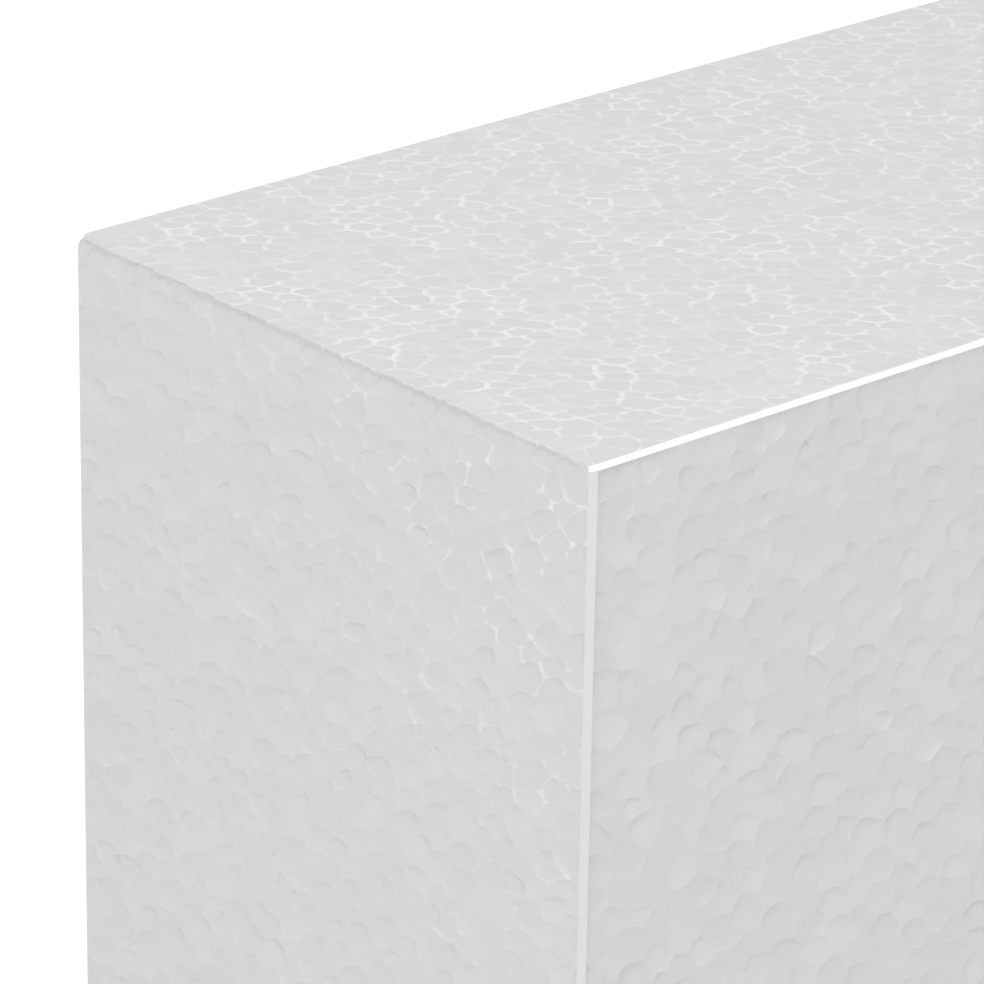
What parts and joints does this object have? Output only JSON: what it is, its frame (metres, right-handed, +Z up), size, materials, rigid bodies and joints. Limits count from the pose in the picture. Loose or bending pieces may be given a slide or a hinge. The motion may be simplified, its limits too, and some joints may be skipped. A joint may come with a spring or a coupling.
{
  "type": "foam block",
  "caption": "Solid rectangular block of expanded polystyrene bead foam with small bevelled edges, one crumbled end edge and a worn corner.",
  "frame": {"origin": "centre of the block's bottom face, on the surface that it stands on", "axes": "+Z up, Y along the block's length with the crumbled end at -Y, X across its width with the worn corner at -X"},
  "size_m": [0.1, 0.2, 0.12],
  "materials": {
    "bead_foam": "white expanded polystyrene beads, matt"
  },
  "bodies": {
    "root": {"foam_block": "bead_foam"}
  },
  "joints": []
}
